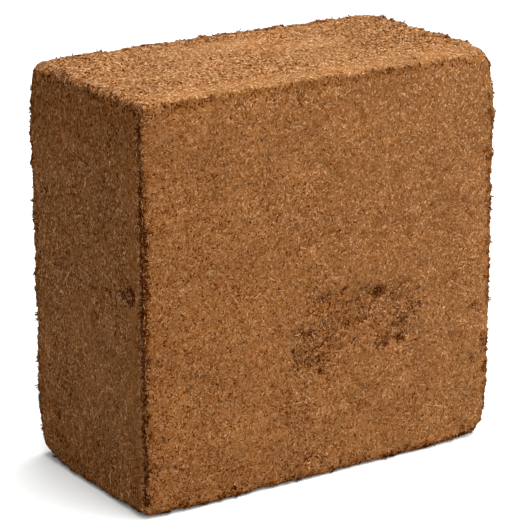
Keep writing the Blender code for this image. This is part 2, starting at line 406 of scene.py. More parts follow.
# Husk is dull, and its fibres are a little less so. Soft patches of it are darker, paler or redder, and the top
# is paler and less red, from the first of these insets below it to the second.
PITH_ROUGHNESS = 0.95
HUSK_ROUGHNESS = 0.9
FIBRE_ROUGHNESS = 0.8
HUSK_SHEEN = 0.0
MOTTLE = 0.42
PATCHES = {"Scale": 26.0, "Detail": 4.0}
PATCH_NOISE = (0.35, 0.65)
PATCH_LIGHT = (0.8, 1.2)
REDNESS = {"Scale": 70.0, "Detail": 3.0}
RED_NOISE = (0.45, 0.7)
RED_SHARE = (0.0, 0.32)
REDDENING = (1.08, 0.8, 0.66)
TOP_TINT_INSETS = (0.006, 0.002)
TOP_TINT = (0.975, 1.03, 1.075)

# The pressed block: its chips, so many to the metre, the painted shade in the gaps between them, how hollow a
# place is before its chips get painted shade, and their relief.
CHIPS = {"Bundles": 210.0, "Chip_Length": 330.0, "Chip_Width": 850.0}
GAP_EDGES = (0.02, 0.2)
GAP_DARK = 0.5
HOLLOW_DARK = (0.18, 0.95, 0.0, 1.1)
CHIP_DARK = (0.0, 0.2, 0.0, 0.9)
RELIEF_STRENGTH = 0.25
RELIEF_HEIGHT = 0.0005

# Camera, as solved from the photograph's edges.
PHOTO_SIDE = 520
SENSOR = 36.0
FOCAL_PIXELS = 2487.5
CAMERA_TURN = math.radians(-33.57)
CAMERA_RISE = math.radians(17.53)
CAMERA_ROLL = math.radians(-0.1)
CAMERA_DISTANCE = 1.8074
AIM_ACROSS = -0.0032
AIM_HEIGHT = 0.1427

# Light: where each lamp stands as seen from the bale, how strong it is, and how wide in degrees. The table is
# past white to the eye, so that only the shade beside the bale shows, and dim to the bale.
KEY = ((0.384, -0.138, 0.913), 4.17, 69)
FILL = ((-0.181, -0.892, 0.414), 1.37, 50)
SKY_FILL = 0.34
FLOOR_REACH = 30.0
TABLE_ROUGHNESS = 0.9
TABLE_WHITE = (1.135, 1.16, 1.15)
TABLE_BOUNCE = (0.25, 0.25, 0.25)


def smooth(value):
    """0 below 0, 1 above 1, and an even slope between."""
    value = np.clip(value, 0, 1)
    return value * value * (3 - 2 * value)


def between(value, limits):
    """0 at the lower limit and below, 1 at the upper and above, and an even slope between."""
    low, high = limits
    return smooth((value - low) / (high - low))


def wander(points, length, kind):
    """Even noise from about -1 to 1 at each point, whose lumps are this long."""
    shifted = points / length + PLACE_WAY * PLACES[kind]
    return NOISE_GAIN * np.array([noise.noise(place) for place in shifted.tolist()])


def unit(vectors):
    return vectors / np.maximum(np.linalg.norm(vectors, axis=-1, keepdims=True), 1e-12)


# The block.


def face_slots():
    """Where each face of the block lies on its flat map: the two wide faces above, the other four below."""
    width, depth, height = 2 * HALF
    side = max(2 * width, 2 * depth + width) * MAP_ROW
    places = {
        "front": (0, 0),
        "back": (width * MAP_SECOND, 0),
        "left": (0, height * MAP_ROW),
        "right": (depth * MAP_SECOND, height * MAP_ROW),
        "top": (depth * MAP_THIRD, height * MAP_ROW),
        "foot": (depth * MAP_THIRD, (height + depth) * MAP_ROW),
    }
    return places, side


def grid_block():
    """A closed box of even grid faces around the origin with a flat map, as long each way as the bale."""
    block = bmesh.new()
    flat = block.loops.layers.uv.new("OFBake")
    places, side_length = face_slots()
    for name, (axis, side) in FACES.items():
        across, along = [way for way in range(3) if way != axis]
        counts = [round(2 * HALF[way] / GRID_STEP) for way in (across, along)]
        made = bmesh.ops.create_grid(block, x_segments=counts[0], y_segments=counts[1], size=1.0)
        for vertex in made["verts"]:
            place = Vector((0, 0, 0))
            place[across] = vertex.co.x * HALF[across]
            place[along] = vertex.co.y * HALF[along]
            place[axis] = side * HALF[axis]
            vertex.co = place
        for face in {face for vertex in made["verts"] for face in vertex.link_faces}:
            for loop in face.loops:
                spot = loop.vert.co
                loop[flat].uv = (
                    (places[name][0] + spot[across] + HALF[across]) / side_length,
                    (places[name][1] + spot[along] + HALF[along]) / side_length,
                )
    bmesh.ops.remove_doubles(block, verts=block.verts, dist=MERGE_DISTANCE)
    bmesh.ops.recalc_face_normals(block, faces=block.faces)
    return block


def inset_from(points, face):
    """How far each point is behind the plane of a face."""
    axis, side = FACES[face]
    return HALF[axis] - side * points[:, axis]


def from_edge(points, first, second):
    """How far each point is from the edge between two faces."""
    return np.hypot(inset_from(points, first), inset_from(points, second))


def worn_radii(points):
    """The radius that the edges are rounded to near each point."""
    radii = np.full(len(points), EDGE_RADIUS)
    for edge, own in OWN_RADII.items():
        radii += (own - EDGE_RADIUS) * smooth(1 - from_edge(points, *edge) / EDGE_REACH)
    for sides, worn in CORNER_RADII.items():
        away = np.linalg.norm(points - np.array(sides) * HALF, axis=1)
        radii += (worn - EDGE_RADIUS) * smooth(1 - away / WEAR_REACH)
    return radii


def rounded(points):
    """Where points of the plain box go once its edges are rounded, and which way the surface looks there."""
    radii = worn_radii(points)[:, None]
    core = np.clip(points, radii - HALF, HALF - radii)
    outward = unit(points - core)
    return core + outward * radii, outward


def edge_distance(points):
    """How far each point of the box is from the nearest edge."""
    return np.sort(HALF - np.abs(points), axis=1)[:, 1]


def facing(outward, face):
    """1 where the surface looks the way of this face, falling to 0 round its edges."""
    axis, side = FACES[face]
    return between(outward[:, axis] * side, FACE_TURN)


def oval(points, face, middle, height, half_width, half_height):
    """How many half widths each point is from the middle of an oval on a face.

    The middle is given across the face and up it, or towards the back on the top.
    """
    axis, _ = FACES[face]
    across = points[:, 1] if axis == 0 else points[:, 0]
    up = points[:, 1] if axis == 2 else points[:, 2] + HALF[2]
    return np.hypot((across - middle) / half_width, (up - height) / half_height)


def edge_relief(points):
    """Edges that wander, sit back from the faces and crumble."""
    nearness = smooth(1 - edge_distance(points) / EDGE_BAND)
    bow = SPRING_BACK * smooth(1 - edge_distance(points) / (3 * EDGE_BAND))
    drift = EDGE_WANDER * (1 + wander(points, WANDER_LENGTH, "drift")) / 2
    crumble = EDGE_CRUMBLE * np.maximum(0, wander(points, CRUMBLE_LENGTH, "crumble"))
    return bow + nearness * (drift + crumble)


def crevice_relief(points, outward):
    """The torn lines beside the edges, deep in some places and closed in others."""
    depth = np.zeros(len(points))
    wandered = CREVICE_WANDER * wander(points, CRUMBLE_LENGTH, "crevice path")
    broken = CREVICE_SWING * wander(points, CREVICE_BREAK, "crevice breaks")
    for face, edge, middle, half_width, deepest, share in CREVICES:
        groove = np.exp(-(((inset_from(points, edge) - middle - wandered) / half_width) ** 2))
        depth += facing(outward, face) * deepest * groove * smooth(share + broken)
    return depth


def torn_share(points, outward):
    """1 in the hollow torn from the front, falling to 0 over the broken ledge round it."""
    inside = np.zeros(len(points))
    for lobe in TORN_LOBES:
        inside = np.maximum(inside, 1 - oval(points, "front", *lobe))
    broken = inside + TORN_RAGGED * wander(points, TORN_LENGTH, "torn ledge")
    hollow = np.where(inside > 0, smooth(broken / TORN_LEDGE), 0)
    return facing(outward, "front") * hollow


def torn_relief(points, outward):
    """The torn patch's depth, rough at its floor."""
    floor = TORN_DEPTH + TORN_ROUGHNESS * wander(points, TORN_LENGTH, "torn floor")
    return torn_share(points, outward) * floor


def pit_relief(points, outward):
    """The pits and cracks, each a smooth-sided hollow."""
    depth = np.zeros(len(points))
    for face, pits in PITS.items():
        turned = facing(outward, face)
        for *spot, deepest in pits:
            away = oval(points, face, *spot)
            depth += np.where(away < PIT_REACH, turned * deepest * np.exp(-PIT_FALL * away**2), 0)
    return depth


def crumb_relief(points):
    """The uneven packing that shows all over the faces."""
    lumps = LUMP_DEPTH * (1 + wander(points, LUMP_LENGTH, "lumps")) / 2
    return np.maximum(0, lumps) + CRUMB_DEPTH * np.maximum(0, wander(points, CRUMB_LENGTH, "crumbs"))


def near_edge_shade(points):
    """Painted shade along the near edge, in the ragged gaps where crumbs have broken off."""
    away = from_edge(points, "left", "front")
    up = points[:, 2] + HALF[2]
    stretch = between(up, BROKEN_LOW) * (1 - between(up, BROKEN_HIGH))
    ragged_edge_shade = np.clip(1 + BROKEN_RAGGED * wander(points, RAGGED_LENGTH, "ragged_edge_shade"), *BROKEN_LIMITS)
    return BROKEN_SHADE * stretch * ragged_edge_shade * (1 - between(away, BROKEN_BAND))


def foot_rim_shade(points):
    """Painted shade in patches along the foot's rim, by the floor."""
    above = points[:, 2] + HALF[2]
    shade_patches = FOOT_SHADE_SHARE + FOOT_SHADE_SWING * wander(points, FOOT_SHADE_LENGTH, "foot shade")
    return FOOT_SHADE * np.clip(shade_patches, 0, 1) * (1 - between(above, FOOT_SHADE_BAND))


def fine_relief(points):
    """Clods and grains too small for the solid."""
    clods = CLOD_DEPTH * np.maximum(0, wander(points, CLOD_LENGTH, "clods"))
    return clods + GRAIN_DEPTH * np.abs(wander(points, GRAIN_LENGTH, "grains"))


def foot_hold(points, outward):
    """0 on the flat of the foot, so that it stays flat, and 1 on the rest of the block."""
    rim = np.minimum(HALF[0] - np.abs(points[:, 0]), HALF[1] - np.abs(points[:, 1])) / FOOT_RIM
    return 1 - between(-outward[:, 2], FOOT_TURN) * smooth(rim)


def coir_block():
    """The block itself, with how hollow it is at each point kept for the painted shade in its colour."""
    block = grid_block()
    mesh = bpy.data.meshes.new("pressed_block")
    block.to_mesh(mesh)
    block.free()
    points = np.array([vertex.co for vertex in mesh.vertices])
    places, outward = rounded(points)
    cracks = crevice_relief(points, outward) + pit_relief(points, outward)
    cracks *= np.clip(1 + RAGGED * wander(points, RAGGED_LENGTH, "ragged"), *RAGGED_LIMITS)
    torn = torn_relief(points, outward)
    fine = fine_relief(points)
    depth = edge_relief(points) + cracks + torn + crumb_relief(points) + fine
    places = places - outward * (depth * foot_hold(points, outward))[:, None]
    low, high = places.min(axis=0), places.max(axis=0)
    places = LOW + (places - low) / (high - low) * (HIGH - LOW)
    mesh.vertices.foreach_set("co", places.ravel())
    hollow = mesh.attributes.new("hollow", "FLOAT", "POINT")
    # Painted shade: the deeper a crack, pit, torn place or broken rim, the darker the colour laid there.
    shade_depth = cracks + TORN_SHADE * torn + FINE_SHADE * fine
    # Painted shade along the near edge and along the foot's rim is added in too.
    shade_depth += near_edge_shade(points) + foot_rim_shade(points)
    hollow.data.foreach_set("value", np.clip(shade_depth / HOLLOW_FULL, 0, 1))
    mesh.shade_smooth()
    return as_piece("pressed_block", mesh)


def as_piece(name, data):
    piece = bpy.data.objects.new(name, data)
    bpy.context.scene.collection.objects.link(piece)
    return piece


# The loose bits.


@dataclass
class Spots:
    """Where loose bits lie, which way up, and how hollow, rough, varied and pale (painted shade too) the block
    is there.
    """

    places: np.ndarray
    normals: np.ndarray
    hollows: np.ndarray
    roughs: np.ndarray
    varieties: np.ndarray
    pales_and_painted_light: np.ndarray

    def bunched(self, times, reach, rng):
        """Each spot this many times over, strewn about where it was."""
        bunch = Spots(*(np.repeat(values, times, axis=0) for values in vars(self).values()))
        bunch.places += rng.normal(0, reach, bunch.places.shape)
        return bunch


class Surface:
    """The block's surface, to scatter things on and to lay them along."""

    def __init__(self, piece):
        mesh = piece.data
        mesh.calc_loop_triangles()
        self.points = np.array([vertex.co for vertex in mesh.vertices])
        self.corners = np.array([triangle.vertices for triangle in mesh.loop_triangles])
        a, b, c = (self.points[self.corners[:, i]] for i in range(3))
        cross = np.cross(b - a, c - a)
        self.areas = np.linalg.norm(cross, axis=1) / 2
        self.normals = unit(cross)
        self.middles = (a + b + c) / 3
        self.places = self.middles - MIDDLE
        hollow = np.array([value.value for value in mesh.attributes["hollow"].data])
        self.hollows = hollow[self.corners].mean(axis=1)
        self.roughs, self.varieties, self.pales_and_painted_light = self.packing()
        self.tree = BVHTree.FromPolygons(self.points.tolist(), self.corners.tolist())

    def beside(self, face, band):
        """1 close behind the plane of a face, falling to 0 over this band."""
        return 1 - between(inset_from(self.places, face), band)

    def packing(self):
        """How rough, how varied in tone and how pale the husk is at each triangle, painted shade and highlight
        included.
        """
        top, left, front, back = (facing(self.normals, face) for face in ("top", "left", "front", "back"))
        wide = np.maximum(front, back)
        rim = top * self.beside("front", RIM_BAND)
        strip = left * (1 - self.beside("front", STRIP_START)) * self.beside("front", STRIP_END)
        back_rim = top * self.beside("back", BACK_BAND)
        # Painted shade in the crevice behind the near edge, on the left face.
        seam = 1 - between(np.abs(inset_from(self.places, "front") - SEAM_MIDDLE), SEAM_BAND)
        seam *= self.beside("left", SEAM_BEHIND)
        # Painted shade low down, where the bale meets the floor.
        foot = 1 - between(self.middles[:, 2] - LOW[2], FOOT_BAND)
        uneven = 1 + PACKING * wander(self.middles, PACKING_LENGTH, "packing")
        torn = torn_share(self.places, self.normals)
        rubbed = np.zeros(len(top))
        for face, *spot in RUBBED_PLACES:
            inside = RUBBED_REACH - oval(self.places, face, *spot)
            rubbed = np.maximum(rubbed, facing(self.normals, face) * smooth(inside))
        end = np.maximum(front, top) * self.beside("right", END_BAND)
        calm = [rim, strip, end, front * self.beside("left", SEAM_CALM), rubbed]
        calm = 1 - CALM * np.maximum.reduce(calm)
        roughs = uneven * calm * (NARROW_ROUGH + (WIDE_ROUGH - NARROW_ROUGH) * wide)
        roughs *= 1 + (TOP_ROUGH - 1) * top
        roughs += HOLLOW_ROUGH * self.hollows + TORN_ROUGH * torn
        varieties = uneven * calm * (NARROW_VARIETY + (WIDE_VARIETY - NARROW_VARIETY) * wide)
        varieties *= 1 + (TORN_VARIETY - 1) * torn + (TOP_VARIETY - 1) * top

        sideways, upwards = self.places[:, 0] / HALF[0], self.places[:, 2] / HALF[2]
        # Along the front of the top, the rim's share is a painted highlight.
        pales_and_painted_light = TOP_PALE * top + RIM_PAINTED_HIGHLIGHT * rim + STRIP_PALE * strip + BACK_PALE * back_rim
        pales_and_painted_light += SEAM_PAINTED_SHADE * seam + FOOT_PAINTED_SHADE * foot + END_PALE * end + TORN_PALE * torn + RUBBED_PALE * rubbed
        pales_and_painted_light += FAR_PALE * top * between(self.places[:, 0], FAR_END)
        pales_and_painted_light += front * (FRONT_PALE + SIDE_PALE * sideways + HEIGHT_PALE * upwards)
        # Painted shade on the front, under the top's rim.
        under = 1 - between(np.abs(inset_from(self.places, "top") - UNDER_RIM), UNDER_RIM_BAND)
        pales_and_painted_light += UNDER_RIM_PAINTED_SHADE * front * under
        pales_and_painted_light += left * (LEFT_PALE + LEFT_HEIGHT_PALE * upwards)
        pales_and_painted_light += LEFT_ENDS_PALE * left * between(np.abs(self.places[:, 2]), LEFT_ENDS)
        clumps = wander(self.middles, CLUMP_LENGTH, "clumps")
        pales_and_painted_light += clumps * (CLUMPS["top"] * top + CLUMPS["front"] * front + CLUMPS["left"] * left)
        return roughs, varieties, pales_and_painted_light

    def fibrous(self):
        """How many fibres lie at each triangle."""
        height = (self.middles[:, 2] - LOW[2]) / (HIGH[2] - LOW[2])
        return FIBROUS_FOOT - height + FIBROUS_HOLLOWS * self.hollows

    def scatter(self, count, rng, weights=1.0):
        """Random spots, as dense as the weight of each triangle says, and none under the foot."""
        under = (self.normals[:, 2] < UNDERSIDE_TURN) & (self.middles[:, 2] < LOW[2] + UNDERSIDE_RIM)
        chance = self.areas * weights * ~under
        chosen = rng.choice(len(chance), size=count, p=chance / chance.sum())
        shares = rng.dirichlet((1, 1, 1), size=count)
        places = (self.points[self.corners[chosen]] * shares[:, :, None]).sum(axis=1)
        kept = (self.normals, self.hollows, self.roughs, self.varieties, self.pales_and_painted_light)
        return Spots(places, *(values[chosen] for values in kept))

    def lay(self, paths, heights):
        """The paths with each point at its height over the nearest surface, and the normals there."""
        flat = paths.reshape(-1, 3)
        found = [self.tree.find_nearest(place)[:2] for place in flat.tolist()]
        spots = np.array([spot for spot, _ in found])
        normals = np.array([normal for _, normal in found])
        laid = spots + normals * heights.reshape(-1, 1)
        laid[:, 2] = np.maximum(laid[:, 2], LOW[2] + ABOVE_FLOOR)
        return laid.reshape(paths.shape), normals.reshape(paths.shape)


def directions(normals, rng):
    """Random directions along the surface, few of them across the pressed layers."""
    any_way = rng.normal(size=normals.shape) * LAYERING
    return unit(any_way - normals * (any_way * normals).sum(axis=1, keepdims=True))


def arcs(places, normals, ways, lengths, bends, steps):
    """A path for each fibre: an arc through its place, bent sideways along the surface."""
    along = np.linspace(-0.5, 0.5, steps)[None, :, None] * lengths[:, None, None]
    sideways = np.cross(normals, ways)[:, None, :]
    sag = 4 * (along / lengths[:, None, None]) ** 2 * (bends * lengths)[:, None, None]
    return places[:, None, :] + ways[:, None, :] * along + sideways * sag


def spindle_faces(steps):
    """The triangles of a three-sided fibre with pointed ends, and their corners on its own flat map."""
    rings = steps - 2
    last = 1 + 3 * rings
    rows = [(ring + 1) / (steps - 1) for ring in range(rings)]
    faces, spots = [], []
    for side in range(3):
        following = (side + 1) % 3
        left, right = side / 3, (side + 1) / 3
        middle = (left + right) / 2
        faces.append((0, 1 + following, 1 + side))
        spots.append(((middle, 0), (right, rows[0]), (left, rows[0])))
        for ring in range(rings - 1):
            here, ahead = 1 + 3 * ring, 4 + 3 * ring
            low, high = rows[ring], rows[ring + 1]
            faces.append((here + side, here + following, ahead + following))
            spots.append(((left, low), (right, low), (right, high)))
            faces.append((here + side, ahead + following, ahead + side))
            spots.append(((left, low), (right, high), (left, high)))
        end = 1 + 3 * (rings - 1)
        faces.append((end + side, end + following, last))
        spots.append(((left, rows[-1]), (right, rows[-1]), (middle, 1)))
    return np.array(faces), np.array(spots)


def joined_mesh(name, corners, faces, flat_spots, rng, spots):
    """One mesh of many like bits, each with a cell of the flat map and a tone of its own.

    Corners is (bits, corners, 3). The deeper the hollow that a bit lies in, the more likely it gets painted
    shade.
    """
    count, each = corners.shape[:2]
    tones = 0.5 + (rng.random(count) - 0.5) * spots.varieties + spots.pales_and_painted_light
    shades = SHADE * smooth((spots.hollows - rng.uniform(*SHADE_FROM, count)) / SHADE_STEP)
    corners[:, :, 2] = np.maximum(corners[:, :, 2], LOW[2])
    mesh = bpy.data.meshes.new(name)
    shifted = faces[None] + (np.arange(count) * each)[:, None, None]
    mesh.from_pydata(corners.reshape(-1, 3).tolist(), [], shifted.reshape(-1, 3).tolist())
    across = math.ceil(math.sqrt(count))
    cells = np.stack([np.arange(count) % across, np.arange(count) // across], axis=1)
    inside = CELL_MARGIN + flat_spots * (1 - 2 * CELL_MARGIN)
    flat = (cells[:, None, None, :] + inside[None]) / across
    layer = mesh.uv_layers.new(name="OFBake")
    layer.data.foreach_set("uv", flat.ravel())
    for label, values in (("tone", tones), ("shade", shades)):
        kept = mesh.attributes.new(label, "FLOAT", "POINT")
        kept.data.foreach_set("value", np.repeat(values, each))
    return as_piece(name, mesh)


def flakes(name, surface, rng):
    """Splinters of husk and pith: four-sided, ridged along their length, tilted, and half sunk in the face."""
    spots = surface.scatter(FLAKES, rng)
    normals = spots.normals
    leaning = rng.normal(0, FLAKE_TILT, FLAKES) * spots.roughs
    tilted = unit(normals + directions(normals, rng) * leaning[:, None])
    ways = directions(tilted, rng)
    sides = np.cross(tilted, ways)
    size = rng.uniform(*FLAKE_SIZES, FLAKES) ** 2
    length = FLAKE_LENGTH / 2 * size * rng.uniform(*FLAKE_SWING, FLAKES)
    width = FLAKE_WIDTH / 2 * size ** 0.5 * rng.uniform(*FLAKE_SWING, FLAKES)
    thick = FLAKE_THICKNESS * rng.uniform(*FLAKE_SWING, FLAKES) * spots.roughs
    lift = thick * rng.uniform(*FLAKE_LIFT, FLAKES)
    ridge = spots.places + tilted * lift[:, None]
    slide = length * rng.uniform(-FLAKE_SLIDE, FLAKE_SLIDE, FLAKES)
    keel = spots.places + tilted * (lift - thick)[:, None] + ways * slide[:, None]
    dip = thick * rng.uniform(0, FLAKE_DIP, FLAKES)
    corners = np.stack([
        ridge + ways * length[:, None],
        ridge - ways * length[:, None] - tilted * dip[:, None],
        keel + sides * width[:, None],
        keel - sides * width[:, None],
    ], axis=1)
    faces = np.array([(0, 2, 1), (0, 1, 3), (0, 3, 2), (1, 2, 3)])
    flat_spots = np.array([[(1, 0.5), (0.5, 1), (0, 0.5)], [(1, 0.5), (0, 0.5), (0.5, 0)]] * 2)
    return joined_mesh(name, corners, faces, flat_spots, rng, spots)


def lying(rng, kind, count, spring=None):
    """Heights of fibres whose ends are buried and middles stand a little proud, some sprung off at one end."""
    lift = rng.uniform(*kind.lifts, count)[:, None]
    hump = np.sin(np.linspace(0, math.pi, kind.points))[None]
    heights = BURIED + hump * lift + rng.normal(0, FIBRE_UNEVEN, size=(count, kind.points))
    if kind.sprung:
        loose = rng.random(count)[:, None] < kind.sprung
        rise = np.linspace(0, 1, kind.points)[None] ** 2 * rng.uniform(*FIBRE_SPRING, size=(count, 1))
        heights += loose * rise * (kind.spring if spring is None else spring)
    return heights


def fibres(name, surface, rng, kind, spots, heights, lengths=None):
    """Fibres laid along the surface, three-sided and pointed, at these heights along their paths."""
    count, points = heights.shape
    if lengths is None:
        lengths = rng.uniform(*kind.lengths, count)
    widths = rng.uniform(*kind.widths, count)
    bends = rng.normal(0, kind.bend, count) if kind.bend else np.zeros(count)
    spots.varieties = spots.varieties * FIBRE_VARIETY
    paths = arcs(spots.places, spots.normals, directions(spots.normals, rng), lengths, bends, points)
    paths, ups = surface.lay(paths, heights)
    ahead = unit(np.gradient(paths, axis=1))
    ups = unit(ups - ahead * (ups * ahead).sum(axis=2, keepdims=True))
    sides = np.cross(ahead, ups)
    taper = np.sin(np.linspace(0, math.pi, points)) ** FIBRE_TAPER
    thickness = widths[:, None] / 2 * taper * rng.uniform(*FIBRE_SWING, size=(count, points))
    rings = []
    for third in range(3):
        turn = math.pi / 2 + third * 2 * math.pi / 3
        spoke = math.cos(turn) * sides + FIBRE_FLATNESS * math.sin(turn) * ups
        rings.append(paths + spoke * thickness[:, :, None])
    middle = np.stack(rings, axis=2)[:, 1:-1].reshape(count, -1, 3)
    corners = np.concatenate([paths[:, :1], middle, paths[:, -1:]], axis=1)
    faces, flat_spots = spindle_faces(points)
    piece = joined_mesh(name, corners, faces, flat_spots, rng, spots)
    piece.data.shade_smooth()
    return piece


def chopped_chaff(surface, rng):
    """Short chopped husk, straight, in every direction."""
    heights = lying(rng, CHAFF, CHAFF.count)
    return fibres("chopped_chaff", surface, rng, CHAFF, surface.scatter(CHAFF.count, rng), heights)


def curved_fibres(surface, rng):
    """Fibres that lie in shallow curves on the faces, most of them short."""
    spots = surface.scatter(CURVED.count, rng, surface.fibrous())
    shortest, longest = CURVED.lengths
    lengths = shortest + (longest - shortest) * rng.random(CURVED.count) ** CURVED_SHORTNESS
    heights = lying(rng, CURVED, CURVED.count)
    return fibres("curved_fibres", surface, rng, CURVED, spots, heights, lengths)


def long_strands(surface, rng):
    """The few long fibres that show singly, in clear curves."""
    spots = surface.scatter(STRANDS.count, rng, surface.fibrous())
    return fibres("long_strands", surface, rng, STRANDS, spots, lying(rng, STRANDS, STRANDS.count))


def edge_tufts(surface, rng):
    """Bunches of frayed ends along the edges, standing out past them."""
    weights = np.exp(-((edge_distance(surface.places) / TUFT_BAND) ** 2))
    for first, second, trim in TUFT_TRIMS:
        weights *= 1 - trim * np.exp(-((from_edge(surface.places, first, second) / TRIM_REACH) ** 2))
    bunch = surface.scatter(TUFTS.count, rng, weights).bunched(TUFT_FIBRES, TUFT_STREWN, rng)
    bunch.pales_and_painted_light = np.maximum(bunch.pales_and_painted_light + TUFT_PALE, TUFT_DARKEST)
    least, most = TUFT_REACH
    reach = least + (most - least) * rng.random(TUFTS.count) ** TUFT_SHORTNESS
    heights = lying(rng, TUFTS, TUFTS.count * TUFT_FIBRES, np.repeat(reach, TUFT_FIBRES)[:, None])
    return fibres("edge_tufts", surface, rng, TUFTS, bunch, heights)


def torn_lips(surface, rng):
    """Loose bits along the torn edges, lying over the crevices."""
    near = np.minimum.reduce([from_edge(surface.places, *edge) for edge in LIP_EDGES])
    spots = surface.scatter(LIPS.count, rng, np.exp(-((near / LIP_BAND) ** 2)))
    proud = rng.random(LIPS.count) < LIP_SHARE
    spots.pales_and_painted_light = np.where(proud, np.maximum(spots.pales_and_painted_light, LIP_PALE), spots.pales_and_painted_light)
    spots.hollows = np.where(proud, spots.hollows * LIP_OPEN, spots.hollows)
    return fibres("torn_lips", surface, rng, LIPS, spots, lying(rng, LIPS, LIPS.count))


# Materials.


def new_group(name, inputs, outputs):
    """An empty node group with these sockets, what its input node gives and what its output node takes."""
    group = bpy.data.node_groups.new(name, "ShaderNodeTree")
    for way, sockets in (("INPUT", inputs), ("OUTPUT", outputs)):
        for label, kind in sockets.items():
            group.interface.new_socket(label, in_out=way, socket_type="NodeSocket" + kind)
    given, result = group.nodes.new("NodeGroupInput"), group.nodes.new("NodeGroupOutput")
    return group, given.outputs, result.inputs


def feed(tree, socket, value):
    """Links a socket to what another puts out, or sets it."""
    if isinstance(value, bpy.types.NodeSocket):
        tree.links.new(value, socket)
    else:
        socket.default_value = value


def added(tree, kind, given=None, **settings):
    """A new node of this kind, with these settings, fed these values or links by the socket."""
    node = tree.nodes.new("ShaderNode" + kind)
    for setting, value in settings.items():
        setattr(node, setting, value)
    for label, value in (given or {}).items():
        feed(tree, node.inputs[label], value)
    return node


def maths(tree, operation, first, second):
    return added(tree, "Math", {0: first, 1: second}, operation=operation).outputs[0]


def mixed(tree, share, first, second, blend="MIX"):
    given = {0: share, 6: first, 7: second}
    return added(tree, "Mix", given, data_type="RGBA", blend_type=blend).outputs[2]


def remapped(tree, value, low, high, to_low=0.0, to_high=1.0):
    given = {"Value": value, "From Min": low, "From Max": high, "To Min": to_low, "To Max": to_high}
    return added(tree, "MapRange", given).outputs["Result"]


def packed_chips_group():
    """A pattern of short chips pressed together, in bundles that each lie their own way, with gaps between."""
    group, given, result = new_group(
        "packed chips",
        {"Vector": "Vector", "Bundles": "Float", "Chip Length": "Float", "Chip Width": "Float"},
        {"Tone": "Float", "Gap": "Float"},
    )
    length, width = given["Chip Length"], given["Chip Width"]
    bundles = added(group, "TexVoronoi", {"Vector": given["Vector"], "Scale": given["Bundles"]})
    spin = added(group, "VectorMath", {0: bundles.outputs["Color"], "Scale": 2 * math.pi}, operation="SCALE")
    turned = {"Vector": given["Vector"], "Rotation": spin.outputs[0]}
    turn = added(group, "VectorRotate", turned, rotation_type="EULER_XYZ")
    sizes = added(group, "CombineXYZ", {0: length, 1: width, 2: width})
    stretch = added(group, "VectorMath", {0: turn.outputs[0], 1: sizes.outputs[0]}, operation="MULTIPLY")
    across = {"Vector": stretch.outputs[0], "Scale": 1.0}
    chips = added(group, "TexVoronoi", across)
    borders = added(group, "TexVoronoi", across, feature="DISTANCE_TO_EDGE")
    parts = added(group, "SeparateColor", {0: chips.outputs["Color"]})
    feed(group, result["Tone"], parts.outputs["Red"])
    feed(group, result["Gap"], remapped(group, borders.outputs["Distance"], *GAP_EDGES, 1.0, 0.0))
    return group


def mottle_group():
    """Large soft patches of redder, darker and paler husk, laid over a colour."""
    sockets = {"Color": "Color", "Vector": "Vector", "Amount": "Float"}
    group, given, result = new_group("mottle", sockets, {"Color": "Color"})
    vector, amount = given["Vector"], given["Amount"]
    patches = added(group, "TexNoise", {"Vector": vector, **PATCHES})
    redness = added(group, "TexNoise", {"Vector": vector, **REDNESS})
    bright = remapped(group, patches.outputs["Fac"], *PATCH_NOISE, *PATCH_LIGHT)
    grey = added(group, "CombineColor", {0: bright, 1: bright, 2: bright})
    shaded = mixed(group, amount, given["Color"], grey.outputs[0], "MULTIPLY")
    red = remapped(group, redness.outputs["Fac"], *RED_NOISE, *RED_SHARE)
    share = maths(group, "MULTIPLY", red, amount)
    feed(group, result["Color"], mixed(group, share, shaded, (*REDDENING, 1.0), "MULTIPLY"))
    return group


def top_tint_group():
    """The top of the bale is paler and less red than its sides."""
    sockets = {"Color": "Color", "Vector": "Vector"}
    group, given, result = new_group("tinted top", sockets, {"Color": "Color"})
    place = added(group, "SeparateXYZ", {0: given["Vector"]})
    low, high = (float(HIGH[2]) - inset for inset in TOP_TINT_INSETS)
    share = remapped(group, place.outputs["Z"], low, high)
    feed(group, result["Color"], mixed(group, share, given["Color"], (*TOP_TINT, 1.0), "MULTIPLY"))
    return group


def placed(tree, group, vector, **values):
    """The group as a node in this material, read at this vector, with these values on its sockets."""
    given = {label.replace("_", " "): value for label, value in values.items()}
    return added(tree, "Group", {"Vector": vector, **given}, node_tree=group)


def ramp(tree, value, stops):
    """Colours along a value."""
    node = added(tree, "ValToRGB", {0: value})
    elements = node.color_ramp.elements
    while len(elements) < len(stops):
        elements.new(0.5)
    for element, (place, colour) in zip(elements, stops):
        element.position = place
        element.color = (*colour, 1.0)
    return node.outputs[0]


def value_of(tree, label):
    """A value that the mesh keeps at each point."""
    return added(tree, "Attribute", attribute_name=label).outputs["Fac"]


def new_material(name, roughness):
    """A plain material, its node tree, its shader and the place on the object that its patterns read."""
    material = bpy.data.materials.new(name)
    material.use_nodes = True
    tree = material.node_tree
    shader = tree.nodes["Principled BSDF"]
    shader.inputs["Roughness"].default_value = roughness
    shader.inputs["Specular IOR Level"].default_value = HUSK_SHEEN
    return material, tree, shader, added(tree, "TexCoord").outputs["Object"]


def coloured(tree, shader, where, colour, groups):
    """Gives the shader this colour, with the block's soft patches and its paler, less red top over it."""
    mottled = placed(tree, groups["mottle"], where, Color=colour, Amount=MOTTLE)
    top_tinted = placed(tree, groups["bleached"], where, Color=mottled.outputs["Color"])
    feed(tree, shader.inputs["Base Color"], top_tinted.outputs["Color"])


